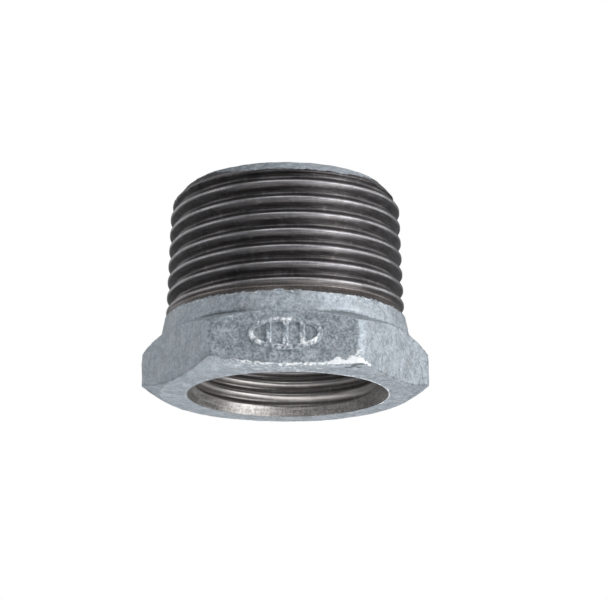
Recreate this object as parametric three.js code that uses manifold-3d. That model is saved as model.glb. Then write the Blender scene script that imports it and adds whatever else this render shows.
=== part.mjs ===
// Hexagon reducing bush, 1 x 3/4: a galvanised malleable-iron fitting that screws into a 1 inch
// female pipe thread and takes a 3/4 inch male pipe thread in its bore.
// Millimetres. Z is the axis. The hexagon's end face is at z = 0 and the male thread points up.
// The real bush is one casting. Its regions are separate closed solids here, parted at flat planes
// across the axis, so that neighbours meet face to face.

import * as THREE from 'three';
import { mergeVertices } from 'three/addons/utils/BufferGeometryUtils.js';
import Module from 'manifold-3d';

// ---- driving dimensions ----

const LENGTH = 29.5;                    // end face to end face
const ACROSS_FLATS = 35.5;
const UPPER_CHAMFER_Z = 5.8;            // where the corner edges meet the upper chamfer
const HEAD_TOP = 8;                     // parting plane between hexagon and collar
const COLLAR_TOP = 10.5;                // parting plane between collar and male thread
const NOSE_START = 27.5;                // parting plane between male thread and nose
const COLLAR_R = { bottom: 17.4, top: 16.95 };
const CORNER_R = 20.25;                 // the corners are slightly blunted
const FACE_R = 17.4;                    // round flat left on the end face by the corner chamfer
const LOWER_CHAMFER_Z = 1.4;
const NOSE_R = 14.3;                    // outer edge of the small end face
const NOSE_SLOPE = 0.87;                // radius that the nose's cone gains for each mm below it

// ISO 7-1 pipe threads, 55 degree form
const FORM_DEPTH = 0.640327;            // depth as a share of the pitch
const CREST_SHARE = 1 / 6;              // flat crest, and the same flat root
const TAPER = 1 / 32;                   // change of radius along the axis
const MALE = { pitch: 25.4 / 11, gaugeR: 33.249 / 2, gaugeFromEnd: 10.4, crestAtFront: 12.02 };
const FEMALE = { pitch: 25.4 / 14, majorR: 26.441 / 2, length: 16, crestAtBack: 2.84 };

const WASHOUT = 2.3;                    // the male thread fades out over this length
const MOUTH_R = 13.95;                  // chamfered mouth of the female thread
const MOUTH_SLOPE = 0.6;                // radius that the mouth's chamfer loses for each mm up
const CORED_R = 11.9;                   // the bore beyond the female thread, left as cast

const MARK = { height: 0.4, centreZ: 4.4, halfWidth: 5, halfHeight: 2.3, rib: 0.6, barPitch: 2.2 };

const ROUND_SEGMENTS = 72;
const TURN_SEGMENTS = 36;               // steps in each turn of a thread
const SPARE = 1;                        // how far a cutting tool runs past what it cuts

const FRONT = -Math.PI / 2;
const BACK = Math.PI / 2;
const APOTHEM = ACROSS_FLATS / 2;

// ---- solids from three.js geometry ----

const wasm = await Module();
wasm.setup();

function toSolid(geometry) {
  const bare = geometry.index ? geometry.toNonIndexed() : geometry;
  bare.deleteAttribute('normal');
  bare.deleteAttribute('uv');
  const merged = mergeVertices(bare, 1e-5);
  return new wasm.Manifold(new wasm.Mesh({
    numProp: 3,
    vertProperties: merged.attributes.position.array,
    triVerts: Uint32Array.from(merged.index.array),
  }));
}

function toGeometry(solid) {
  const mesh = solid.getMesh();
  const geometry = new THREE.BufferGeometry();
  geometry.setAttribute('position', new THREE.BufferAttribute(mesh.vertProperties, 3));
  geometry.setIndex(new THREE.BufferAttribute(mesh.triVerts, 1));
  geometry.computeVertexNormals();
  return geometry;
}

// A solid of revolution about Z. The outline is a list of [radius, z] going up.
function turned(outline) {
  const points = outline.map(([radius, z]) => new THREE.Vector2(radius, z));
  const geometry = new THREE.LatheGeometry(points, ROUND_SEGMENTS);
  geometry.rotateX(Math.PI / 2);        // the lathe turns about Y
  return toSolid(geometry);
}

function slab(bottom, top) {
  const width = 3 * CORNER_R;
  const geometry = new THREE.BoxGeometry(width, width, top - bottom);
  geometry.translate(0, 0, (bottom + top) / 2);
  return toSolid(geometry);
}

function prism(shape, height) {
  return new THREE.ExtrudeGeometry(shape, { depth: height, bevelEnabled: false });
}

// ---- threads ----

const formDepth = (thread) => FORM_DEPTH * thread.pitch;
const crestRadius = (z) => MALE.gaugeR + (LENGTH - MALE.gaugeFromEnd - z) * TAPER;
const rootRadius = (z) => crestRadius(z) - formDepth(MALE);
const femaleMinorR = FEMALE.majorR - formDepth(FEMALE);

// One turn's band of a thread, as columns of [height as a share of the pitch, radius there]. It runs
// from the end of one root flat to the start of the next, past the crest in its middle.
function threadColumns(crestR, rootR) {
  const half = CREST_SHARE / 2;
  return [[half - 0.5, rootR], [-half, crestR], [half, crestR], [0.5 - half, rootR]];
}

// The triangles that close one end of a threaded rod, from a point on its axis to the helical rim.
function endFan(at, columns, start, hub, facesUp) {
  const rim = [];
  for (let step = 0; step <= TURN_SEGMENTS; step++) rim.push(at(start + step, 0));
  for (let column = columns - 1; column > 0; column--) rim.push(at(start, column));
  return rim.flatMap((here, i) => {
    const next = rim[(i + 1) % rim.length];
    return facesUp ? [hub, here, next] : [hub, next, here];
  });
}

// A solid rod with a right-handed thread, from a little below bottom to a little above top. Its
// crest passes height crestZ at crestAngle, and each turn's band joins the next one's.
function threadedRod(pitch, crestZ, crestAngle, bottom, top, crestR, rootR) {
  const columns = threadColumns(crestR, rootR);
  const firstTurn = Math.floor((bottom - crestZ) / pitch) - 1;
  const turns = Math.ceil((top - crestZ) / pitch) + 1 - firstTurn;
  const steps = turns * TURN_SEGMENTS;
  const height = (step) => crestZ + pitch * (firstTurn + step / TURN_SEGMENTS);
  const vertices = [];
  for (let step = 0; step <= steps + TURN_SEGMENTS; step++) {
    const angle = crestAngle + 2 * Math.PI * step / TURN_SEGMENTS;
    for (const [share, radiusAt] of columns) {
      const z = height(step) + pitch * share;
      vertices.push(radiusAt(z) * Math.cos(angle), radiusAt(z) * Math.sin(angle), z);
    }
  }
  // A column past the last is the first column of the band one turn up.
  const size = columns.length;
  const at = (step, column) => (column < size ? step * size + column : (step + TURN_SEGMENTS) * size);
  const faces = [];
  for (let step = 0; step < steps; step++) {
    for (let column = 0; column < size; column++) {
      const [a, b] = [at(step, column), at(step + 1, column)];
      const [c, d] = [at(step, column + 1), at(step + 1, column + 1)];
      faces.push(a, b, c, c, b, d);
    }
  }
  const hub = vertices.length / 3;
  vertices.push(0, 0, height(0), 0, 0, height(steps));
  faces.push(...endFan(at, size, 0, hub, false), ...endFan(at, size, steps, hub + 1, true));
  const geometry = new THREE.BufferGeometry();
  geometry.setAttribute('position', new THREE.Float32BufferAttribute(vertices, 3));
  geometry.setIndex(faces);
  return toSolid(geometry);
}

// ---- the casting ----

function hexagonShape() {
  const radius = APOTHEM / Math.cos(Math.PI / 6);
  const corners = [];
  for (let corner = 0; corner < 6; corner++) {
    const angle = corner * Math.PI / 3;
    corners.push(new THREE.Vector2(radius * Math.cos(angle), radius * Math.sin(angle)));
  }
  return new THREE.Shape(corners);
}

// The hexagon, with its corners turned back at both ends and slightly blunted.
function headBlank() {
  const envelope = turned([
    [0, 0], [FACE_R, 0], [CORNER_R, LOWER_CHAMFER_Z], [CORNER_R, UPPER_CHAMFER_Z],
    [COLLAR_R.bottom, HEAD_TOP], [0, HEAD_TOP],
  ]);
  return toSolid(prism(hexagonShape(), HEAD_TOP)).intersect(envelope);
}

// Plain collar, and the cone on which the male thread fades out.
function collarBlank() {
  const fadeEnd = COLLAR_TOP + WASHOUT;
  return turned([
    [0, HEAD_TOP], [COLLAR_R.bottom, HEAD_TOP], [COLLAR_R.top, COLLAR_TOP],
    [rootRadius(fadeEnd), fadeEnd], [0, fadeEnd],
  ]);
}

// The male thread, with its crests turned down to the root at the small end.
function shank() {
  const { pitch, crestAtFront } = MALE;
  const sleeveR = crestRadius(COLLAR_TOP) + SPARE;
  const coneStart = LENGTH - (sleeveR - NOSE_R) / NOSE_SLOPE;
  const envelope = turned([
    [0, COLLAR_TOP], [sleeveR, COLLAR_TOP], [sleeveR, coneStart], [NOSE_R, LENGTH], [0, LENGTH],
  ]);
  const rod = threadedRod(pitch, crestAtFront, FRONT, COLLAR_TOP, LENGTH, crestRadius, rootRadius);
  return rod.intersect(envelope);
}

// The tap: its crests cut the roots of the female thread, and it fades out at the far end.
function tap() {
  const { pitch, majorR, length, crestAtBack } = FEMALE;
  const envelope = turned([
    [0, -SPARE / 2], [majorR, -SPARE / 2], [majorR, length], [CORED_R, length + WASHOUT],
    [0, length + WASHOUT],
  ]);
  const cutZ = crestAtBack + pitch / 2;
  const rod = threadedRod(pitch, cutZ, BACK, 0, length + WASHOUT, () => majorR, () => femaleMinorR);
  return rod.intersect(envelope);
}

// All that is taken out of the bore: the mouth's chamfer, the cored hole and the tapped thread.
function boreTool() {
  const chamfer = (MOUTH_R - femaleMinorR) / MOUTH_SLOPE;
  const hole = turned([
    [0, -SPARE], [MOUTH_R + MOUTH_SLOPE * SPARE, -SPARE], [femaleMinorR, chamfer], [CORED_R, chamfer],
    [CORED_R, LENGTH + SPARE], [0, LENGTH + SPARE],
  ]);
  return hole.add(tap());
}

function casting() {
  return headBlank().add(collarBlank()).add(shank()).subtract(boreTool());
}

// ---- the mark: an oval ring with three upright bars, raised on the front flat ----

function oval(halfWidth, halfHeight) {
  const shape = new THREE.Shape();
  shape.absellipse(0, 0, halfWidth, halfHeight, 0, 2 * Math.PI, false, 0);
  return shape;
}

// Turns a piece drawn in the XY plane up onto the front flat, standing out from it.
function onFrontFlat(geometry) {
  geometry.rotateX(Math.PI / 2);
  geometry.translate(0, -APOTHEM, MARK.centreZ);
  return toSolid(geometry);
}

function markSolid() {
  const { height, halfWidth, halfHeight, rib, barPitch } = MARK;
  const ring = oval(halfWidth, halfHeight);
  ring.holes.push(oval(halfWidth - rib, halfHeight - rib));
  let mark = onFrontFlat(prism(ring, height));
  for (const place of [-1, 0, 1]) {
    const x = place * barPitch;
    const reach = halfHeight * Math.sqrt(1 - (x / halfWidth) ** 2) - rib / 2;
    const bar = new THREE.BoxGeometry(rib, 2 * reach, height);
    bar.translate(x, 0, height / 2);
    mark = mark.add(onFrontFlat(bar));
  }
  return mark;
}

// ---- named regions ----

const ZINC = { color: 0x9aa3a8, roughness: 0.6, metalness: 0.8 };
const CUT_IRON = { color: 0x4a4644, roughness: 0.4, metalness: 0.9 };

const body = casting();
const regions = [
  ['hex_head', body.intersect(slab(-SPARE, HEAD_TOP)), ZINC],
  ['collar', body.intersect(slab(HEAD_TOP, COLLAR_TOP)), ZINC],
  ['threaded_shank', body.intersect(slab(COLLAR_TOP, NOSE_START)), CUT_IRON],
  ['nose_ring', body.intersect(slab(NOSE_START, LENGTH + SPARE)), ZINC],
  ['foundry_mark', markSolid(), ZINC],
];

const bush = new THREE.Group();
for (const [name, solid, look] of regions) {
  const mesh = new THREE.Mesh(toGeometry(solid), new THREE.MeshStandardMaterial(look));
  mesh.name = name;
  bush.add(mesh);
}

export default bush;
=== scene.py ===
"""A galvanised hexagon reducing bush, as fine meshes round its CAD frame.

The bush is one casting. Each CAD region is replaced by a fine mesh of the same region: a cast zinc
skin that a die and a tap have cut through, so that bare threads meet the skin at a ragged line.
Lengths are in millimetres until a mesh is made, angles in radians, and Z is the bush's axis.
"""

import math

import bpy
import numpy as np
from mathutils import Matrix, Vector


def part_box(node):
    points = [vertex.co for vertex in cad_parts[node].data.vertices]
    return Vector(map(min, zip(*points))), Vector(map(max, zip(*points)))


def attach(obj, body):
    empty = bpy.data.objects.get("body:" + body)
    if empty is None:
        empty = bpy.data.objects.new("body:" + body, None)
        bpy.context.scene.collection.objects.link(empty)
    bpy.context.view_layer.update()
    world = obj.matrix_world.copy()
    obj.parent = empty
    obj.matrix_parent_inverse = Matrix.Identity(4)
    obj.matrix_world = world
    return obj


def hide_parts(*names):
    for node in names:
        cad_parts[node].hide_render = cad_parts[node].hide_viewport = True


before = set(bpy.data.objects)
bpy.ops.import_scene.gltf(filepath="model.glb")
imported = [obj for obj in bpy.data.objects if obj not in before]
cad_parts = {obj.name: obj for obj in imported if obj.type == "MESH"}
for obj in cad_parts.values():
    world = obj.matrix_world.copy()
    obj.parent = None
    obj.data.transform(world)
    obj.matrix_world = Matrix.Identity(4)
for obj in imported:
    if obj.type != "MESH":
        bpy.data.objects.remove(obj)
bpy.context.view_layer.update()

MM = 0.001
TURN = 2 * math.pi
FRONT = -math.pi / 2
BACK = math.pi / 2


def top_of(node):
    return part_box(node)[1].z / MM


# ---- driving dimensions, from the frame where it holds them ----

HEAD_TOP = top_of("hex_head")
COLLAR_TOP = top_of("collar")
NOSE_START = top_of("threaded_shank")
LENGTH = top_of("nose_ring")
CORNER_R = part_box("hex_head")[1].x / MM
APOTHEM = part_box("hex_head")[1].y / MM

FACE_R = 17.4                  # round flat that the corner chamfer leaves on the end face
LOWER_CHAMFER_Z = 1.4
UPPER_CHAMFER_Z = 5.8
UPPER_CHAMFER_RISE = 0.7       # the upper chamfer is shallower towards the front and back
COLLAR_BOTTOM_R = 17.4
COLLAR_TOP_R = 16.95
NOSE_R = 14.3
CREASE_Z = 7.65                # where the collar rises out of the head
CREASE_DEPTH = 0.2
NOSE_SLOPE = 0.87              # radius that the nose's cone gains for each mm below it
NOSE_EDGE = 0.12               # height of the small edge between the nose's cone and its end
NOSE_LIP = 0.35                # the bore's edge in the small end is rounded down by this much
MOUTH_R = 13.95
MOUTH_SLOPE = 0.6              # radius that the mouth's chamfer loses for each mm up
WORN_AT = -math.pi / 3         # the corner whose lower end is rubbed white
SCAR_AT = FRONT - 0.2          # a faint scar runs up across the male thread here
CHATTER_COUNT = 90             # small waves that the die left round the nose
NOSE_SKIN = 1.45               # height of the zinc that the die left on the nose's cone
NOSE_SKIN_LOST = 1.3           # how much of it is scuffed off at the two sides
NOSE_REACH = 4.0               # the nose's own marks stay within this height of its end
MOUTH_SHIFT = (0.4, -0.25)     # the core that made the mouth sat a little off the axis
CORED_R = 11.9                 # the bore beyond the female thread, left as cast
BLANK_SPARE = 0.1              # the round blank is this much larger than the corners
SIDE_CORNER_CUT = 0.2          # and this much smaller again at the two side corners
WASHOUT = 2.3                  # length over which a thread fades out

TAPER = 1 / 32                 # change of radius along a taper thread
MALE_PITCH = 25.4 / 11
MALE_GAUGE_R = 33.249 / 2
MALE_GAUGE_FROM_END = 10.4
MALE_CREST_Z = 12.02           # height of a crest at the front
FEMALE_PITCH = 25.4 / 14
FEMALE_MAJOR_R = 26.441 / 2
FEMALE_LENGTH = 16.0
FEMALE_CREST_Z = 2.84          # height of a crest at the back

# 55 degree form, as shares of the pitch
FORM_DEPTH = 0.640327
CREST_LAND = 0.28              # crests left flat and roots left full, as a worn die leaves them
CREST_ROUND = (0.34, 0.08)     # the crest's lower shoulder is fuller than its upper one
ROOT_ROUND = 0.22
FLANK_HALF_ANGLE = math.radians(27.5)


# the cast skin's mean depth inside its drawn surface, what three noises add, and its most
SKIN_DEPTH = 0.09
SLOW_DEPTH, LUMP_DEPTH, PIT_DEPTH = 0.028, 0.022, 0.011
SKIN_DEEPEST = 0.25

# columns of points round each mesh
HEAD_COLUMNS = 540
SHANK_COLUMNS = 480
NOSE_COLUMNS = 720


# ---- seeded noise: a sum of plane waves in random directions ----

class Waves:
    """Smooth noise with one typical wavelength in mm, mean 0 and spread about 1."""

    COUNT = 28

    def __init__(self, wavelength, seed):
        rng = np.random.default_rng(seed)
        heading = rng.normal(size=(self.COUNT, 3))
        heading /= np.linalg.norm(heading, axis=1)[:, None]
        length = wavelength * rng.uniform(0.7, 1.5, self.COUNT)
        self.k = heading * (TURN / length)[:, None]
        self.phase = rng.uniform(0, TURN, self.COUNT)

    def __call__(self, x, y, z):
        total = np.zeros(np.broadcast(x, y, z).shape)
        for (kx, ky, kz), phase in zip(self.k, self.phase):
            total += np.sin(kx * x + ky * y + kz * z + phase)
        return total / math.sqrt(self.COUNT / 2)


SLOW = Waves(9.0, 1)
LUMPS = Waves(2.6, 2)
PITS = Waves(0.9, 3)
RAGGED = Waves(1.5, 4)


def round_from(theta, start):
    """The angle from start to theta, between minus and plus half a turn."""
    return np.mod(theta - start + math.pi, TURN) - math.pi


def at_polar(noise, theta, r, z):
    return noise(r * np.cos(theta), r * np.sin(theta), z)


def cast_depth(theta, r, z):
    """How far the cast skin lies inside its drawn surface, in mm. Never negative."""
    slow = at_polar(SLOW, theta, r, z)
    lumps = at_polar(LUMPS, theta, r, z)
    pits = at_polar(PITS, theta, r, z)
    depth = SKIN_DEPTH + SLOW_DEPTH * slow + LUMP_DEPTH * lumps + PIT_DEPTH * pits
    return np.clip(depth, 0, SKIN_DEEPEST)


# ---- shape helpers ----

def smooth_min(a, b, width):
    """The smaller of a and b, rounded over where they cross."""
    h = np.clip(0.5 + 0.5 * (b - a) / width, 0, 1)
    return b + (a - b) * h - width * h * (1 - h)


def smooth_max(a, b, width):
    return -smooth_min(-a, -b, width)


def bell(x, width):
    """1 where x is 0, and near 0 once x is twice the width."""
    return np.exp(-((x / width) ** 2))


def smooth_step(edge0, edge1, x):
    t = np.clip((x - edge0) / (edge1 - edge0), 0, 1)
    return t * t * (3 - 2 * t)


def thread_form(phase):
    """Height above the pitch line of the 55 degree form, in pitches. The crest is at phase 0."""
    above = phase - np.round(phase)
    t = np.abs(above)
    slope = math.tan(FLANK_HALF_ANGLE)
    land = (0.25 - CREST_LAND / 2) / slope
    centre = 0.25 / slope - ROOT_ROUND / math.sin(FLANK_HALF_ANGLE)
    root = -centre - np.sqrt(np.maximum(ROOT_ROUND**2 - (0.5 - t) ** 2, 0))
    flank = (0.25 - t) / slope
    below = np.where(0.5 - t < ROOT_ROUND * math.cos(FLANK_HALF_ANGLE), root, flank)
    lower, upper = CREST_ROUND
    return smooth_min(below, land, lower + (upper - lower) * smooth_step(-0.08, 0.05, above))


def thread_phase(theta, z, pitch, crest_z, crest_theta):
    return (z - crest_z) / pitch - (theta - crest_theta) / TURN


def male_crest_r(z):
    return MALE_GAUGE_R + (LENGTH - MALE_GAUGE_FROM_END - z) * TAPER


def male_thread_r(theta, z):
    phase = thread_phase(theta, z, MALE_PITCH, MALE_CREST_Z, FRONT)
    return male_crest_r(z) + MALE_PITCH * (thread_form(phase) - FORM_DEPTH * 0.4)


def female_thread_r(theta, z):
    """The wall that the tap leaves: its crests point at the axis."""
    phase = thread_phase(theta, z, FEMALE_PITCH, FEMALE_CREST_Z, BACK)
    return FEMALE_MAJOR_R - FEMALE_PITCH * (thread_form(phase) + FORM_DEPTH / 3)


def hexagon_r(theta, corner_round):
    """Radius of the hexagon, with two flats facing front and back, and its corners rounded."""
    sector = np.mod(theta - FRONT + math.pi / 6, math.pi / 3) - math.pi / 6
    near = APOTHEM / np.cos(sector)
    far = APOTHEM / np.cos(math.pi / 3 - np.abs(sector))
    return smooth_min(near, far, corner_round)


# ---- meshes ----

def put_in_scene(name, data):
    thing = bpy.data.objects.new(name, data)
    bpy.context.scene.collection.objects.link(thing)
    return thing


def shade_smooth(mesh):
    mesh.polygons.foreach_set("use_smooth", np.ones(len(mesh.polygons), bool))


def set_point_values(mesh, label, values):
    layer = mesh.attributes.new(label, "FLOAT", "POINT")
    layer.data.foreach_set("value", values.astype(np.float32))


# ---- a ring-shaped mesh, grown from bands of points ----

class RingMesh:
    """Points lie in columns at equal angles, and a band joins a lower ring to an upper one.

    Each point carries cut, 1 where a tool has bared the iron, rise, 0 at a thread's root and 1 at
    its crest, and tone, 1 where handling has worn the zinc white and where a highlight is painted
    on, and -1 where grime has gathered and where shade is painted into the crease.
    """

    def __init__(self, columns):
        self.columns = columns
        self.theta = FRONT + TURN * np.arange(columns) / columns
        self.xyz, self.cut, self.rise, self.tone, self.faces, self.rings = [], [], [], [], [], []
        self.count = 0

    def add(self, theta, r, z, cut=0.0, rise=0.0, tone=0.0):
        given = np.broadcast_arrays(theta, r, z, cut, rise, tone)
        theta, r, z, cut, rise, tone = (a.ravel() for a in given)
        self.xyz.append(np.stack([r * np.cos(theta), r * np.sin(theta), z], 1))
        self.cut.append(cut)
        self.rise.append(rise)
        self.tone.append(tone)
        first = self.count
        self.count += len(r)
        return np.arange(first, self.count)

    def ring(self, r, z, cut=0.0, rise=0.0, sharp=True):
        made = self.add(self.theta, r, z, cut, rise)
        if sharp:
            self.rings.append(made)
        return made

    def _stitch(self, index, inward, slot):
        a, b, c, d = index[:-1, :-1], index[1:, :-1], index[1:, 1:], index[:-1, 1:]
        faces = np.concatenate([
            np.stack([a, b, c], -1).reshape(-1, 3),
            np.stack([a, c, d], -1).reshape(-1, 3),
        ])
        whole = (faces != np.roll(faces, 1, axis=1)).all(1)
        faces = faces[whole]
        self.faces.append((faces[:, ::-1] if inward else faces, slot))

    def flat_band(self, lower, upper, r, z, cut=0.0, rise=0.0, tone=0.0, inward=False, slot=0):
        """A band whose rows are level rings, given as columns x rows between the two rings."""
        rows = np.broadcast(r, z).shape[1]
        theta = np.repeat(self.theta[:, None], rows, 1)
        made = self.add(theta, r, z, cut, rise, tone).reshape(self.columns, rows)
        index = np.concatenate([lower[:, None], made, upper[:, None]], 1)
        self._stitch(np.concatenate([index, index[:1]]), inward, slot)

    def thread_band(self, lower, upper, low_z, high_z, pitch, crest_z, crest_theta, shares, surface,
                    inward=False, slot=0):
        """A band whose rows climb one pitch each turn, so that they run along a thread's crests.
        shares places one pitch's rows, and surface(theta, z) gives r, cut and rise."""
        per_turn = len(shares)
        start = (self.theta[0] - crest_theta) / TURN
        first = math.floor((low_z - crest_z) / pitch - start) - 2
        last = math.ceil((high_z - crest_z) / pitch - start) + 1
        rows = (np.arange(first, last + 1)[:, None] + np.array(shares)[None, :]).ravel()
        climb = np.arange(self.columns) / self.columns + start
        z = crest_z + pitch * (rows[None, :] + climb[:, None])
        gap = pitch * 0.012
        inside = (z > low_z + gap) & (z < high_z - gap)
        theta = np.repeat(self.theta[:, None], len(rows), 1)
        index = np.where(z < (low_z + high_z) / 2, lower[:, None], upper[:, None])
        index[inside] = self.add(theta[inside], *self._split(surface, theta[inside], z[inside]))
        seam = np.concatenate([index[0, per_turn:], np.full(per_turn, upper[0])])
        self._stitch(np.concatenate([index, seam[None]]), inward, slot)

    @staticmethod
    def _split(surface, theta, z):
        r, cut, rise = surface(theta, z)
        return r, z, cut, rise

    def build(self, name, materials):
        xyz = np.concatenate(self.xyz) * MM
        faces = np.concatenate([f for f, _ in self.faces])
        slots = np.concatenate([np.full(len(f), s) for f, s in self.faces])
        mesh = bpy.data.meshes.new(name)
        mesh.vertices.add(len(xyz))
        mesh.vertices.foreach_set("co", xyz.astype(np.float32).ravel())
        mesh.loops.add(faces.size)
        mesh.loops.foreach_set("vertex_index", faces.astype(np.int32).ravel())
        mesh.polygons.add(len(faces))
        mesh.polygons.foreach_set("loop_start", np.arange(0, faces.size, 3, dtype=np.int32))
        mesh.polygons.foreach_set("material_index", slots.astype(np.int32))
        mesh.update(calc_edges=True)
        mesh.validate()
        shade_smooth(mesh)
        for label, values in (("cut", self.cut), ("rise", self.rise), ("tone", self.tone)):
            set_point_values(mesh, label, np.concatenate(values))
        self._mark_sharp(mesh)
        for material in materials:
            mesh.materials.append(material)
        return put_in_scene(name, mesh)

    def _mark_sharp(self, mesh):
        label = np.zeros(self.count, np.int32)
        for number, ring in enumerate(self.rings, 1):
            label[ring] = number
        edges = np.zeros(2 * len(mesh.edges), np.int32)
        mesh.edges.foreach_get("vertices", edges)
        ends = label[edges.reshape(-1, 2)]
        sharp = (ends[:, 0] == ends[:, 1]) & (ends[:, 0] > 0)
        mesh.attributes.new("sharp_edge", "BOOLEAN", "EDGE").data.foreach_set("value", sharp)


def spread(count, low=0.0, high=1.0):
    """Evenly spaced values strictly between low and high."""
    return low + (high - low) * np.arange(1, count + 1) / (count + 1)


def form_rows(per_turn):
    """Places of one pitch's rows, closer together on the rounded crest and root."""
    u = np.arange(per_turn) / per_turn
    return u - 0.045 * np.sin(2 * TURN * u)


# ---- the surfaces ----

def shank_surface(theta, z):
    """The male thread, its fade-out on the collar and the cast nose: r, cut and rise."""
    thread = male_thread_r(theta, z)
    crest = male_crest_r(z)
    fade_depth = COLLAR_TOP_R - crest + FORM_DEPTH * MALE_PITCH
    fade = COLLAR_TOP_R - (z - COLLAR_TOP) * fade_depth / WASHOUT
    tooled = smooth_max(thread, np.where(z < COLLAR_TOP + 2 * WASHOUT, fade, 0), 0.12)
    r0 = np.maximum(tooled, 1)
    rough = at_polar(RAGGED, theta, r0, z)
    collar = COLLAR_TOP_R - (z - COLLAR_TOP) * 0.02 - cast_depth(theta, r0, z) + 0.10
    nose = NOSE_R + (LENGTH - z) * NOSE_SLOPE - cast_depth(theta, r0, z) + 0.02 * rough + 0.02
    collar = collar + 0.04 * rough + 0.022 * at_polar(PITS, theta, r0, z)
    blank = np.where(z < (COLLAR_TOP + LENGTH) / 2, collar, nose)
    r = np.minimum(tooled, blank)
    to_side = smooth_step(0.35, 0.95, np.abs(np.cos(theta) - 0.08))
    zinc_from = LENGTH - NOSE_SKIN + NOSE_SKIN_LOST * to_side
    zinc_from = zinc_from + 0.05 * rough + 0.05 * np.sin(CHATTER_COUNT * theta)
    zinc_from = np.where(np.abs(z - LENGTH) < NOSE_REACH, zinc_from, COLLAR_TOP)
    scuffed = smooth_step(-0.06, 0.06, zinc_from - z)
    cut = np.maximum(smooth_step(0.0, 0.05, blank - tooled), scuffed)
    rise = (thread - crest) / (FORM_DEPTH * MALE_PITCH) + 1.08
    rise = np.where(tooled > thread + 0.05, np.minimum(rise, 0.55), rise)
    scar = bell(round_from(theta, SCAR_AT) * COLLAR_TOP_R, 0.2) * (0.6 + 0.4 * rough)
    return r, cut, np.clip(rise + 0.25 * scar * smooth_step(0.9, 0.5, rise), 0, 1)


def crease_share(theta):
    """The crease is deepest beside the front flat's two ends, and shallow elsewhere."""
    aside = np.abs(round_from(theta, FRONT))
    return 0.12 + 0.88 * bell(aside - 0.5, 0.25)


def collar_r(theta, z):
    """The plain collar, with the sharp crease where it rises out of the head."""
    share = (z - HEAD_TOP) / (COLLAR_TOP - HEAD_TOP)
    drawn = COLLAR_BOTTOM_R + (COLLAR_TOP_R - COLLAR_BOTTOM_R) * share
    crease = CREASE_DEPTH * bell(z - CREASE_Z - 0.12, 0.34) * crease_share(theta)
    return drawn - cast_depth(theta, drawn, z) + 0.06 - crease


def mouth_r(theta):
    """Radius of the mouth's edge in the end face."""
    return MOUTH_R + MOUTH_SHIFT[0] * np.cos(theta) + MOUTH_SHIFT[1] * np.sin(theta)


def bore_surface(theta, z):
    """Mouth chamfer, tapped thread, its fade-out and the cored wall: r, cut and rise."""
    thread = female_thread_r(theta, z)
    fade = CORED_R + (FEMALE_LENGTH + WASHOUT - z) * (FEMALE_MAJOR_R - CORED_R) / WASHOUT
    tapped = smooth_min(thread, fade, 0.1)
    tooled = smooth_max(tapped, mouth_r(theta) - MOUTH_SLOPE * z, 0.06)
    cored = CORED_R - 0.05 + cast_depth(theta, CORED_R, z)
    r = np.maximum(tooled, cored)
    cut = smooth_step(0.0, 0.05, tooled - cored)
    rise = (FEMALE_MAJOR_R - tooled) / (FORM_DEPTH * FEMALE_PITCH)
    return r, cut, np.clip(rise, 0, 1)


SKIN, BORE = 0, 1


def bore_band(mesh, lower, upper, low_z, high_z, per_turn):
    mesh.thread_band(lower, upper, low_z, high_z, FEMALE_PITCH, FEMALE_CREST_Z, BACK,
                     form_rows(per_turn), bore_surface, inward=True, slot=BORE)


def bore_ring(mesh, z):
    r, cut, rise = bore_surface(mesh.theta, z)
    return mesh.ring(r, z, cut, rise)


def parting_face(mesh, outer, inner, z, facing_up):
    """The flat, hidden face where two regions of the casting meet."""
    points = np.concatenate(mesh.xyz)
    out_r = np.linalg.norm(points[outer, :2], axis=1)[:, None]
    in_r = np.linalg.norm(points[inner, :2], axis=1)[:, None]
    steps = spread(2)[None, :]
    r = in_r + (out_r - in_r) * steps
    mesh.flat_band(inner, outer, r, np.full_like(r, z), inward=facing_up, slot=SKIN)


# ---- the pieces ----

def near_worn_corner(theta):
    return bell(round_from(theta, WORN_AT), 0.42)


def blank_r(theta):
    """Radius that the flats are cut into, which takes a little off the two side corners."""
    return CORNER_R + BLANK_SPARE - SIDE_CORNER_CUT * np.cos(theta) ** 4


def lower_chamfer_z(theta):
    """Height of the corner chamfer, which is slight at the worn corner."""
    return LOWER_CHAMFER_Z - 0.95 * near_worn_corner(theta)


def head_outline(theta):
    """Radii and heights of the head's section at each angle, from its end face outward and up to
    the collar, before the flats are cut."""
    upper_z = UPPER_CHAMFER_Z + UPPER_CHAMFER_RISE * np.sin(theta) ** 2
    corners = [
        (MOUTH_R + 0.8, 0), (FACE_R, 0), (blank_r(theta), lower_chamfer_z(theta)),
        (blank_r(theta), upper_z), (COLLAR_BOTTOM_R + 0.2, CREASE_Z),
    ]
    radii, heights = [], []
    for (r0, z0), (r1, z1), count in zip(corners, corners[1:], [12, 26, 32, 26]):
        t = np.arange(count)[None, :] / count
        radii.append(r0 + (r1 - r0) * t + 0 * theta)
        heights.append(z0 + (z1 - z0) * t + 0 * theta)
    radii.append(corners[-1][0] + 0 * theta)
    heights.append(corners[-1][1] + 0 * theta)
    return np.concatenate(radii, 1), np.concatenate(heights, 1)


def collar_tone(theta, z):
    """Painted shade darkening the crease between the head and the collar, a painted highlight as a
    pale band above its left end, and white flecks where the die chipped the zinc."""
    # painted shade: darker along the crease where the head and the collar meet
    grime_and_painted_shade = crease_share(theta) * bell(z - CREASE_Z - 0.1, 0.36)
    # painted highlight: a pale band on the collar's flare above the crease's left end
    pale = bell(round_from(theta, FRONT) + 0.3, 0.4) * bell(z - CREASE_Z - 1.0, 0.4)
    rough = at_polar(PITS, theta, COLLAR_TOP_R, z) + at_polar(RAGGED, theta, COLLAR_TOP_R, z)
    flecks = bell(z - COLLAR_TOP, 0.4) * smooth_step(0.2, 1.4, rough)
    return 0.3 * pale + 0.75 * flecks - 0.6 * grime_and_painted_shade


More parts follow.
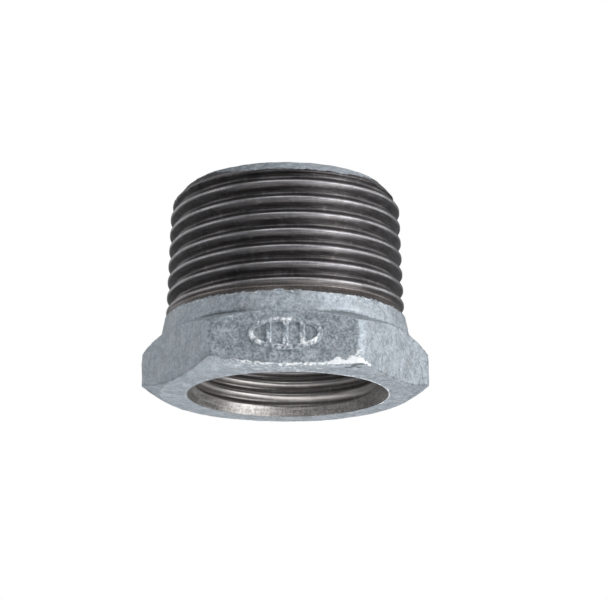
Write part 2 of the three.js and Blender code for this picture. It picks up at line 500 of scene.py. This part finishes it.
def rubbed_line(above, aside, ragged, spiky):
    """The thin white line along the front flat's lower edge."""
    width = 0.22 + 0.1 * smooth_step(-8, 0, aside)
    line = bell(above - 0.12 + 0.03 * ragged + 0.04 * spiky, width)
    line = line * smooth_step(-21, -16, aside) * smooth_step(2.6, 1.6, aside)
    return (0.9 + 0.1 * spiky) * line


def worn_patch(above, aside, ragged, spiky):
    """The white patch at the worn corner, with two peaks and a ragged top."""
    peaks = 0.9 * bell(aside + 2.9, 0.55) + 1.7 * bell(aside + 0.4, 0.5)
    top = 0.45 + peaks + 0.18 * ragged + 0.15 * spiky
    patch = smooth_step(top + 0.25, top - 0.25, above) * (above > -0.1)
    patch = patch * smooth_step(-4.8, -3.2, aside) * smooth_step(0.45, -0.05, aside)
    return (0.9 + 0.1 * ragged) * patch


def corner_grime(above, aside, ragged, spiky):
    """Dirt on the end face, just below the worn patch."""
    grime = smooth_step(-0.25, -0.5, above) * smooth_step(-2.6, -1.6, above)
    grime = grime * smooth_step(-0.8, 0.5, spiky + ragged)
    return grime * smooth_step(-4.0, -2.6, aside) * smooth_step(1.4, 0.4, aside)


def dirty_edge(above, aside, ragged, spiky):
    """Dirty spots along the lower edge of the flat to the right of the worn corner."""
    edge = bell(above, 0.4) * smooth_step(-0.3, 0.7, spiky + ragged)
    return edge * smooth_step(1.8, 4.0, aside) * smooth_step(26, 21, aside)


def pale_face(theta, r, z, above):
    """Where the end face is paler: a spot at its left, and along its front."""
    x, y = r * np.cos(theta), r * np.sin(theta)
    spot = 0.52 * bell(x + 14.9, 1.1) * bell(y - 1.9, 2.2) * (z < LOWER_CHAMFER_Z)
    front = 0.5 * bell(round_from(theta, FRONT), 0.6) * smooth_step(0, -0.3, above)
    return spot + front


def head_tone(theta, env_r, r, z):
    """Wear and grime on the head, with the painted shade and painted highlight that collar_tone
    adds near the crease. above is a point's height over the lower edge of its flat, negative on the
    end face, and aside is its distance round from the worn corner."""
    hexagon = hexagon_r(theta, 0.01)
    edge_z = lower_chamfer_z(theta) * (hexagon - FACE_R) / (blank_r(theta) - FACE_R)
    above = np.where(z > edge_z, z - edge_z, env_r - hexagon)
    aside = round_from(theta, WORN_AT) * CORNER_R
    ragged = at_polar(RAGGED, theta, r, z)
    spiky = at_polar(PITS, theta, r, 0.4 * z)
    place = (above, aside, ragged, spiky)
    white = rubbed_line(*place) + worn_patch(*place) + pale_face(theta, r, z, above)
    grime_and_painted_shade = 0.8 * corner_grime(*place) + 0.22 * dirty_edge(*place)
    return np.clip(white, 0, 1) - grime_and_painted_shade + collar_tone(theta, z)


def make_head(materials):
    mesh = RingMesh(HEAD_COLUMNS)
    theta = mesh.theta[:, None]
    env_r, z = head_outline(theta)
    r = smooth_min(env_r, hexagon_r(theta, 0.4 + 0.4 * near_worn_corner(theta)), 0.3)
    tone = head_tone(theta, env_r, r, z)
    depth = cast_depth(theta, r, z)
    on_face = (1 - smooth_step(FACE_R - 0.6, FACE_R + 0.6, r)) * (z < LOWER_CHAMFER_Z)
    r = r - depth * (1 - on_face)
    z = z + depth * on_face
    lip = spread(4)[None, :]
    rim = mouth_r(theta)
    lip_r = rim + (r[:, :1] - rim) * lip
    r = np.concatenate([lip_r, r], 1)
    z = np.concatenate([z[:, :1] * smooth_step(0, 0.6, lip), z], 1)
    mouth = mesh.ring(mouth_r(mesh.theta), 0.0, cut=1.0)
    groove_z = CREASE_Z + (HEAD_TOP - CREASE_Z) * spread(5)[None, :]
    r = np.concatenate([r, collar_r(theta, groove_z)], 1)
    z = np.concatenate([z, np.repeat(groove_z, mesh.columns, 0)], 1)
    to_right = smooth_step(0.3, 0.9, np.cos(theta))
    lip_tone = (0.4 + 0.35 * to_right) * smooth_step(1.0, 0.4, lip)
    tone = np.concatenate([lip_tone, tone, collar_tone(theta, groove_z)], 1)
    outer = mesh.ring(collar_r(mesh.theta, HEAD_TOP), HEAD_TOP)
    mesh.flat_band(mouth, outer, r, z, tone=tone, slot=SKIN)
    inner = bore_ring(mesh, HEAD_TOP)
    bore_band(mesh, mouth, inner, 0.0, HEAD_TOP, 14)
    parting_face(mesh, outer, inner, HEAD_TOP, facing_up=True)
    return mesh.build("cast_head", materials)


def make_collar(materials):
    mesh = RingMesh(HEAD_COLUMNS)
    theta = mesh.theta[:, None]
    lower = mesh.ring(collar_r(mesh.theta, HEAD_TOP), HEAD_TOP)
    r_top, cut, rise = shank_surface(mesh.theta, COLLAR_TOP)
    upper = mesh.ring(r_top, COLLAR_TOP, cut, rise)
    z = np.repeat(spread(16, HEAD_TOP, COLLAR_TOP)[None, :], mesh.columns, 0)
    step = r_top[:, None] - collar_r(theta, COLLAR_TOP)
    r = collar_r(theta, z) + step * smooth_step(COLLAR_TOP - 0.5, COLLAR_TOP, z)
    mesh.flat_band(lower, upper, r, z, tone=collar_tone(theta, z), slot=SKIN)
    in_low, in_high = bore_ring(mesh, HEAD_TOP), bore_ring(mesh, COLLAR_TOP)
    bore_band(mesh, in_low, in_high, HEAD_TOP, COLLAR_TOP, 14)
    parting_face(mesh, upper, in_high, COLLAR_TOP, facing_up=True)
    parting_face(mesh, lower, in_low, HEAD_TOP, facing_up=False)
    return mesh.build("cast_collar", materials)


def make_shank(materials):
    mesh = RingMesh(SHANK_COLUMNS)
    r, cut, rise = shank_surface(mesh.theta, COLLAR_TOP)
    lower = mesh.ring(r, COLLAR_TOP, cut, rise)
    r, cut, rise = shank_surface(mesh.theta, NOSE_START)
    upper = mesh.ring(r, NOSE_START, cut, rise)
    mesh.thread_band(lower, upper, COLLAR_TOP, NOSE_START, MALE_PITCH, MALE_CREST_Z, FRONT,
                     form_rows(16), shank_surface, slot=SKIN)
    tapped_top = FEMALE_LENGTH + WASHOUT
    in_low, in_mid = bore_ring(mesh, COLLAR_TOP), bore_ring(mesh, tapped_top)
    in_high = bore_ring(mesh, NOSE_START)
    bore_band(mesh, in_low, in_mid, COLLAR_TOP, tapped_top, 12)
    z = np.repeat(spread(14, tapped_top, NOSE_START)[None, :], mesh.columns, 0)
    wall, cut, rise = bore_surface(mesh.theta[:, None], z)
    mesh.flat_band(in_mid, in_high, wall, z, cut, rise, inward=True, slot=BORE)
    parting_face(mesh, upper, in_high, NOSE_START, facing_up=True)
    parting_face(mesh, lower, in_low, COLLAR_TOP, facing_up=False)
    return mesh.build("cut_thread", materials)


def make_nose(materials):
    mesh = RingMesh(NOSE_COLUMNS)
    theta = mesh.theta[:, None]
    r, cut, rise = shank_surface(mesh.theta, NOSE_START)
    lower = mesh.ring(r, NOSE_START, cut, rise)
    edge_z = LENGTH - NOSE_EDGE
    r, cut, rise = shank_surface(mesh.theta, edge_z)
    edge = mesh.ring(r, edge_z, cut, rise, sharp=False)
    mesh.thread_band(lower, edge, NOSE_START, edge_z, MALE_PITCH, MALE_CREST_Z, FRONT,
                     form_rows(36), shank_surface, slot=SKIN)
    in_low = bore_ring(mesh, NOSE_START)
    lip_z = LENGTH - NOSE_LIP
    wall, _, _ = bore_surface(mesh.theta, lip_z)
    lip = mesh.ring(wall, lip_z, sharp=False)
    z = np.repeat(spread(6, NOSE_START, lip_z)[None, :], mesh.columns, 0)
    inside, _, _ = bore_surface(theta, z)
    mesh.flat_band(in_low, lip, inside, z, inward=True, slot=BORE)
    across = spread(22)[None, :]
    face_r = wall[:, None] + (r[:, None] - wall[:, None]) * across
    lip_dip, edge_dip = 1 - smooth_step(0, 0.16, across), smooth_step(0.86, 1, across)
    dip = NOSE_LIP * lip_dip + NOSE_EDGE * edge_dip
    face_z = LENGTH - dip - np.maximum(cast_depth(theta, face_r, LENGTH) - 0.06, 0)
    mesh.flat_band(lip, edge, face_r, face_z, inward=True, slot=SKIN)
    parting_face(mesh, lower, in_low, NOSE_START, facing_up=False)
    return mesh.build("cast_nose", materials)


# ---- the raised mark: an oval ring with three upright bars ----

def mark_height(x, z, half_width, half_height, rib, bar_pitch):
    """1 on top of a rib and 0 beside it, at x and z from the mark's centre."""
    flow = np.hypot(x / half_width, z / half_height)
    slope = np.hypot(x / half_width**2, z / half_height**2) / np.maximum(flow, 1e-6)
    to_ring = np.abs((flow - 1) / np.maximum(slope, 1e-6) + rib / 2)
    to_bar = np.full_like(x, 9.0)
    for place in (-1, 0, 1):
        to_bar = np.minimum(to_bar, np.abs(x - place * bar_pitch))
    to_bar = np.where(flow < 1 - rib / 2 / half_height, to_bar, 9.0)
    nearest = np.minimum(to_ring, to_bar)
    return 1 - smooth_step(0.25 * rib, 0.95 * rib, nearest)


def grid_solid(name, front, back):
    """A closed mesh between two grids of points, given as columns x rows x 3. It faces -Y."""
    columns, rows = front.shape[:2]
    size = columns * rows
    grid = np.arange(size).reshape(columns, rows)
    a, b, c, d = grid[:-1, :-1], grid[1:, :-1], grid[1:, 1:], grid[:-1, 1:]
    face = np.stack([a, b, c, d], -1).reshape(-1, 4)
    rim = np.concatenate([grid[:, 0], grid[-1, 1:], grid[-2::-1, -1], grid[0, -2:0:-1]])
    after = np.roll(rim, -1)
    side = np.stack([rim, rim + size, after + size, after], -1)
    faces = np.concatenate([face, (face + size)[:, ::-1], side])
    points = np.concatenate([front.reshape(-1, 3), back.reshape(-1, 3)]) * MM
    mesh = bpy.data.meshes.new(name)
    mesh.from_pydata(points.tolist(), [], faces.tolist())
    mesh.validate()
    shade_smooth(mesh)
    return mesh


def make_mark(materials):
    low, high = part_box("foundry_mark")
    centre_z = (low.z + high.z) / 2 / MM
    half_width = (high.x - low.x) / 2 / MM
    half_height = (high.z - low.z) / 2 / MM
    proud = -low.y / MM - APOTHEM
    rib, bar_pitch = 0.8, 0.44 * half_width
    sunk, thickness = 0.35, 0.4
    columns, rows = 190, 110
    x = np.linspace(-half_width, half_width, columns)[:, None] + np.zeros((1, rows))
    z = np.linspace(-half_height, half_height, rows)[None, :] + np.zeros((columns, 1))
    relief = mark_height(x, z, half_width, half_height, rib, bar_pitch)
    lumpy = 0.5 + 0.5 * np.clip(0.9 * LUMPS(x, 0 * x, z) + 0.3 * PITS(x, 0 * x, z), -1, 1)
    depth = cast_depth(FRONT + x / APOTHEM, APOTHEM, z + centre_z)
    height = sunk + depth + proud * (0.35 + 0.65 * lumpy) - 0.02
    front = -APOTHEM + depth + sunk - relief * height
    back = np.full_like(front, -APOTHEM + sunk + thickness)
    mesh = grid_solid("raised_mark", np.stack([x, front, z + centre_z], -1),
                      np.stack([x, back, z + centre_z], -1))
    tone = relief * (0.36 + 0.36 * lumpy)
    set_point_values(mesh, "tone", np.concatenate([tone.ravel(), np.zeros(tone.size)]))
    mesh.materials.append(materials[SKIN])
    return put_in_scene("raised_mark", mesh)


# ---- materials ----

# linear red, green and blue
ZINC_DARK = (0.185, 0.222, 0.248)
ZINC_MEAN = (0.335, 0.362, 0.398)
ZINC_PALE = (0.475, 0.515, 0.565)
ZINC_STAIN = (0.33, 0.33, 0.33)
ZINC_DARK_CLOUD = (0.25, 0.275, 0.29)
ZINC_PALE_CLOUD = (0.50, 0.53, 0.56)
# worn white zinc, also used for a painted highlight
ZINC_WORN_AND_HIGHLIGHT = (0.93, 0.95, 0.97)
# grime, also used for painted shade in the crease
GRIME_AND_PAINTED_SHADE = (0.10, 0.12, 0.125)
# painted highlight and painted shade for the nose's right and left sides
NOSE_PAINTED_HIGHLIGHT = (0.60, 0.64, 0.69)
NOSE_PAINTED_SHADE = (0.15, 0.16, 0.18)
MALE_IRON = {
    "root": (0.025, 0.022, 0.0225), "flank": (0.093, 0.086, 0.088), "crest": (0.275, 0.266, 0.275),
}
WASHOUT_IRON = (0.21, 0.185, 0.17)
# brown-grey cut iron, with painted light: far lighter than the same cut iron outside, to brighten
# the inside of the bore
BORE_IRON_WITH_PAINTED_LIGHT = {
    "root": (0.27, 0.255, 0.245), "flank": (0.46, 0.44, 0.425), "crest": (0.72, 0.70, 0.68),
}
# painted shade for the far end of the tapped thread
BORE_PAINTED_SHADE = (0.18, 0.168, 0.172)
MOUTH_PEAK = (0.62, 0.60, 0.59)
MOUTH_HOLLOW = (0.12, 0.11, 0.105)

ZINC_METALLIC, ZINC_RUBBED_METALLIC = 0.55, 0.1
IRON_METALLIC = 0.85
IRON_RELIEF = 0.35             # the tool lines' height, as a share of the zinc's
SKIN_BUMP, BORE_BUMP = 0.08, 0.05


class Nodes:
    """Short calls that add a shader node and link its inputs."""

    def __init__(self, name):
        self.material = bpy.data.materials.new(name)
        self.material.use_nodes = True
        self.tree = self.material.node_tree
        self.shader = self.tree.nodes["Principled BSDF"]
        self.place = self.tree.nodes.new("ShaderNodeTexCoord").outputs["Object"]

    def put(self, socket, value):
        if isinstance(value, bpy.types.NodeSocket):
            self.tree.links.new(value, socket)
        else:
            socket.default_value = value

    def math(self, operation, a, b=0.0, clamp=False):
        node = self.tree.nodes.new("ShaderNodeMath")
        node.operation, node.use_clamp = operation, clamp
        self.put(node.inputs[0], a)
        self.put(node.inputs[1], b)
        return node.outputs[0]

    def place_along(self, axis):
        node = self.tree.nodes.new("ShaderNodeSeparateXYZ")
        self.put(node.inputs[0], self.place)
        return node.outputs[axis]

    def attribute(self, name):
        node = self.tree.nodes.new("ShaderNodeAttribute")
        node.attribute_name = name
        return node.outputs["Fac"]

    def noise(self, wavelength, detail=3.0, rough=0.55, stretch=None, distort=0.0):
        node = self.tree.nodes.new("ShaderNodeTexNoise")
        node.inputs["Scale"].default_value = 1 / (wavelength * MM)
        node.inputs["Detail"].default_value = detail
        node.inputs["Roughness"].default_value = rough
        node.inputs["Distortion"].default_value = distort
        if stretch:
            mapping = self.tree.nodes.new("ShaderNodeMapping")
            mapping.inputs["Scale"].default_value = stretch
            self.put(mapping.inputs["Vector"], self.place)
            self.put(node.inputs["Vector"], mapping.outputs[0])
        else:
            self.put(node.inputs["Vector"], self.place)
        return node.outputs["Fac"]

    def ramp(self, value, low, high, out_low=0.0, out_high=1.0):
        node = self.tree.nodes.new("ShaderNodeMapRange")
        node.interpolation_type = "SMOOTHSTEP"
        for socket, v in zip(node.inputs, (value, low, high, out_low, out_high)):
            self.put(socket, v)
        return node.outputs[0]

    def mix(self, factor, a, b):
        node = self.tree.nodes.new("ShaderNodeMix")
        node.data_type = "RGBA"
        self.put(node.inputs[0], factor)
        self.put(node.inputs[6], (*a, 1) if isinstance(a, tuple) else a)
        self.put(node.inputs[7], (*b, 1) if isinstance(b, tuple) else b)
        return node.outputs[2]

    def blend(self, factor, a, b):
        node = self.tree.nodes.new("ShaderNodeMix")
        node.data_type = "FLOAT"
        self.put(node.inputs[0], factor)
        self.put(node.inputs[2], a)
        self.put(node.inputs[3], b)
        return node.outputs[0]

    def bump(self, height, distance, below=None):
        node = self.tree.nodes.new("ShaderNodeBump")
        node.inputs["Distance"].default_value = distance * MM
        self.put(node.inputs["Height"], height)
        if below is not None:
            self.put(node.inputs["Normal"], below)
        return node.outputs[0]

    def finish(self, colour, roughness, metallic, normal):
        self.put(self.shader.inputs["Base Color"], colour)
        self.put(self.shader.inputs["Roughness"], roughness)
        self.put(self.shader.inputs["Metallic"], metallic)
        self.put(self.shader.inputs["Normal"], normal)
        return self.material


def zinc_look(n):
    """Hot-dip zinc on a sand-cast skin: colour, roughness and height."""
    tone = n.attribute("tone")
    in_front = n.ramp(n.place_along("Y"), (0.95 - APOTHEM) * MM, (0.5 - APOTHEM) * MM)
    mottle = n.noise(0.95, detail=4.0, rough=0.6, distort=0.5)
    specks = n.noise(0.36, detail=2.0, rough=0.6)
    shade = n.blend(0.6, mottle, specks)
    contrast = n.blend(in_front, 0.75, 0.92)
    grey = n.mix(n.ramp(shade, 0.36, 0.66), ZINC_DARK, ZINC_PALE)
    colour = n.mix(contrast, ZINC_MEAN, grey)
    colour = n.mix(n.ramp(n.noise(3.5), 0.55, 0.72, 0.0, 0.35), colour, ZINC_STAIN)
    cloud = n.noise(1.9, detail=3.0, rough=0.65, distort=0.8)
    colour = n.mix(n.ramp(cloud, 0.5, 0.36, 0.0, 0.4), colour, ZINC_DARK_CLOUD)
    colour = n.mix(n.ramp(cloud, 0.52, 0.66, 0.0, 0.3), colour, ZINC_PALE_CLOUD)
    # whitens where tone is high: zinc worn white, and the painted highlight on the collar's flare
    worn_and_highlight = n.math("ADD", n.math("MULTIPLY", tone, 0.85), n.math("MULTIPLY", shade, 1.6))
    colour = n.mix(n.ramp(worn_and_highlight, 1.15, 1.65, 0.0, 0.95), colour, ZINC_WORN_AND_HIGHLIGHT)
    # darkens where tone is low: grime, and the painted shade in the crease between head and collar
    grime_and_shade_mask = n.ramp(n.math("SUBTRACT", n.math("MULTIPLY", shade, -0.5), tone), -0.2, 0.3, 0.0, 0.9)
    colour = n.mix(grime_and_shade_mask, colour, GRIME_AND_PAINTED_SHADE)
    rough = n.ramp(shade, 0.35, 0.65, 0.42, 0.6)
    height = n.blend(0.4, mottle, specks)
    return colour, rough, height


def bare_look(n, root, flank, crest):
    """Cut iron, dark in the roots and bright where the crests are rubbed."""
    rise = n.attribute("rise")
    lines = n.noise(0.25, detail=3.0, rough=0.7, stretch=(0.06, 0.06, 1.0))
    stain = n.noise(3.0, detail=3.0)
    base = n.mix(n.ramp(rise, 0.0, 0.6), root, flank)
    base = n.mix(n.ramp(stain, 0.45, 0.7, 0.0, 0.5), base, root)
    base = n.mix(n.ramp(lines, 0.45, 0.75, 0.0, 0.35), base, crest)
    streaks = n.noise(0.7, detail=3.0, rough=0.6, stretch=(1.0, 1.0, 0.15))
    base = n.mix(n.ramp(streaks, 0.52, 0.75, 0.0, 0.3), base, crest)
    worn = n.math("MULTIPLY", n.ramp(rise, 0.90, 1.0), n.ramp(stain, 0.2, 0.5, 0.55, 1.0))
    worn = n.math("MULTIPLY", worn, n.ramp(streaks, 0.3, 0.55, 0.7, 1.0))
    return n.mix(worn, base, crest), n.ramp(lines, 0.3, 0.7, 0.28, 0.45), lines


def skin_material():
    """The outside: zinc, and bare dark thread wherever the die has cut."""
    n = Nodes("zinc_skin_and_male_thread")
    zinc, zinc_rough, zinc_height = zinc_look(n)
    iron, iron_rough, iron_height = bare_look(n, **MALE_IRON)
    # painted highlight on the right side of the zinc round the nose's end, and painted shade on its
    # left
    at_nose = n.ramp(n.place_along("Z"), (LENGTH - 1.7) * MM, (LENGTH - 1.2) * MM)
    across = n.place_along("X")
    bright = n.math("MULTIPLY", at_nose, n.ramp(across, -8 * MM, 9 * MM, 0.0, 0.4))
    dull = n.math("MULTIPLY", at_nose, n.ramp(across, -4 * MM, -11 * MM, 0.0, 0.6))
    zinc = n.mix(dull, n.mix(bright, zinc, NOSE_PAINTED_HIGHLIGHT), NOSE_PAINTED_SHADE)
    low = n.ramp(n.place_along("Z"), (COLLAR_TOP + 2.2) * MM, (COLLAR_TOP + 0.8) * MM, 0.0, 0.6)
    low = n.math("MULTIPLY", low, n.ramp(n.noise(0.45), 0.4, 0.6, 0.45, 1.0))
    iron = n.mix(low, iron, WASHOUT_IRON)
    cut = n.attribute("cut")
    ragged = n.math("ADD", cut, n.ramp(n.noise(0.5), 0.3, 0.7, -0.35, 0.35))
    bare = n.ramp(ragged, 0.3, 0.7)
    height = n.blend(bare, zinc_height, n.math("MULTIPLY", iron_height, IRON_RELIEF))
    zinc_metal = n.ramp(n.attribute("tone"), 0.1, 0.9, ZINC_METALLIC, ZINC_RUBBED_METALLIC)
    return n.finish(
        n.mix(bare, zinc, iron), n.blend(bare, zinc_rough, iron_rough),
        n.blend(bare, zinc_metal, IRON_METALLIC), n.bump(height, SKIN_BUMP),
    )


def bore_material():
    """The bore: bare brown-grey thread, painted much lighter than the male thread's iron as painted
    light inside the bore, and zinc on the cored wall beyond it.
    """
    n = Nodes("female_thread_and_cored_wall")
    zinc, zinc_rough, zinc_height = zinc_look(n)
    iron, iron_rough, iron_height = bare_look(n, **BORE_IRON_WITH_PAINTED_LIGHT)
    # painted shade: the tapped iron turns darker further inside the bore
    deep = n.ramp(n.place_along("Z"), 4.2 * MM, 6.6 * MM, 0.0, 0.9)
    iron = n.mix(deep, iron, BORE_PAINTED_SHADE)
    grain = n.noise(0.32, detail=2.0, rough=0.6)
    at_mouth = n.ramp(n.place_along("Z"), 1.7 * MM, 1.1 * MM)
    peaks = n.math("MULTIPLY", at_mouth, n.ramp(grain, 0.48, 0.66, 0.0, 0.35))
    hollows = n.math("MULTIPLY", at_mouth, n.ramp(grain, 0.48, 0.32, 0.0, 0.4))
    iron = n.mix(hollows, n.mix(peaks, iron, MOUTH_PEAK), MOUTH_HOLLOW)
    bare = n.ramp(n.attribute("cut"), 0.4, 0.6)
    iron_height = n.math("MULTIPLY", iron_height, IRON_RELIEF)
    chatter = n.blend(at_mouth, iron_height, n.math("MULTIPLY", grain, 0.7))
    height = n.blend(bare, zinc_height, chatter)
    return n.finish(
        n.mix(bare, zinc, iron), n.blend(bare, zinc_rough, iron_rough),
        n.blend(bare, ZINC_METALLIC, IRON_METALLIC), n.bump(height, BORE_BUMP),
    )


# ---- studio, in metres ----

FLOOR_SIZE = 6.0
FLOOR_DROP = 0.5
AROUND = 0.25                  # strength of the grey light from all round
LIGHT_DISTANCE = 0.45

# name, azimuth and elevation in degrees, size, and power in watts
LIGHTS = [
    ("key", 55, 15, (0.3, 0.3), 1.5),
    ("right", 100, 10, (0.3, 0.3), 0.5),
    ("over_front", 0, 50, (0.4, 0.2), 0.7),
    ("left", -75, 15, (0.3, 0.3), 0.4),
    ("back_left", -125, 15, (0.3, 0.4), 0.3),
    ("below_back", 180, -55, (0.5, 0.4), 0.8),
    ("below", 0, -85, (0.3, 0.3), 0.5),
    ("below_right", 60, -45, (0.3, 0.3), 0.9),
]

SENSOR_WIDTH = 36              # in mm, as the lens
LENS = 115.56
LENS_SHIFT = (0.0301, 0.0008)  # as shares of the picture's width
CAMERA_AT = (0, -0.265, -0.0604)
CAMERA_TILT = 15.64            # degrees above level
CLIP = (0.01, 20)


def make_floor():
    """A plain pale floor, well below the bush so that it can be seen from underneath."""
    mesh = bpy.data.meshes.new("floor")
    half = FLOOR_SIZE / 2
    corners = [(-half, -half), (half, -half), (half, half), (-half, half)]
    mesh.from_pydata([(x, y, -FLOOR_DROP) for x, y in corners], [], [(0, 1, 2, 3)])
    material = bpy.data.materials.new("pale_floor")
    material.use_nodes = True
    shader = material.node_tree.nodes["Principled BSDF"]
    shader.inputs["Base Color"].default_value = (0.8, 0.8, 0.8, 1)
    shader.inputs["Roughness"].default_value = 0.9
    mesh.materials.append(material)
    floor = put_in_scene("floor", mesh)


def make_world():
    """White behind the bush, and a softer grey light all round it."""
    world = bpy.data.worlds.new("studio")
    bpy.context.scene.world = world
    world.use_nodes = True
    nodes, links = world.node_tree.nodes, world.node_tree.links
    seen, around = nodes["Background"], nodes.new("ShaderNodeBackground")
    seen.inputs["Color"].default_value = (1, 1, 1, 1)
    seen.inputs["Strength"].default_value = 1.0
    around.inputs["Color"].default_value = (0.93, 0.97, 1.0, 1)
    around.inputs["Strength"].default_value = AROUND
    mix, path = nodes.new("ShaderNodeMixShader"), nodes.new("ShaderNodeLightPath")
    links.new(path.outputs["Is Camera Ray"], mix.inputs[0])
    links.new(around.outputs[0], mix.inputs[1])
    links.new(seen.outputs[0], mix.inputs[2])
    links.new(mix.outputs[0], nodes["World Output"].inputs["Surface"])


def make_softbox(name, azimuth, elevation, size, power):
    """A rectangular light facing the bush. Azimuth 0 is in front and 90 to the right."""
    light = bpy.data.lights.new(name, "AREA")
    light.shape, light.size, light.size_y = "RECTANGLE", size[0], size[1]
    light.energy = power
    lamp = put_in_scene(name, light)
    lamp.visible_camera = False
    a, e = math.radians(azimuth), math.radians(elevation)
    back = Vector((math.sin(a) * math.cos(e), -math.cos(a) * math.cos(e), math.sin(e)))
    lamp.location = Vector((0, 0, LENGTH * MM / 2)) + back * LIGHT_DISTANCE
    lamp.rotation_euler = back.to_track_quat("Z", "Y").to_euler()


def make_camera():
    """Below the bush, looking up at its front flat and into its mouth."""
    camera_data = bpy.data.cameras.new("camera")
    camera = put_in_scene("camera", camera_data)
    camera_data.sensor_width, camera_data.lens = SENSOR_WIDTH, LENS
    camera_data.shift_x, camera_data.shift_y = LENS_SHIFT
    camera_data.clip_start, camera_data.clip_end = CLIP
    camera.location = CAMERA_AT
    camera.rotation_euler = (math.radians(90 + CAMERA_TILT), 0, 0)
    bpy.context.scene.camera = camera


# ---- putting it together ----

materials = [skin_material(), bore_material()]
regions = [
    (make_head, "hex_head", "zinc_coat"),
    (make_collar, "collar", "zinc_coat"),
    (make_shank, "threaded_shank", "cut_iron"),
    (make_nose, "nose_ring", "zinc_coat"),
    (make_mark, "foundry_mark", "zinc_coat"),
]
for make, node, slot in regions:
    piece = make(materials)
    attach(piece, "root")
    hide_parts(node)

make_floor()
make_world()
for light in LIGHTS:
    make_softbox(*light)
make_camera()
bpy.context.scene.view_settings.view_transform = "Standard"
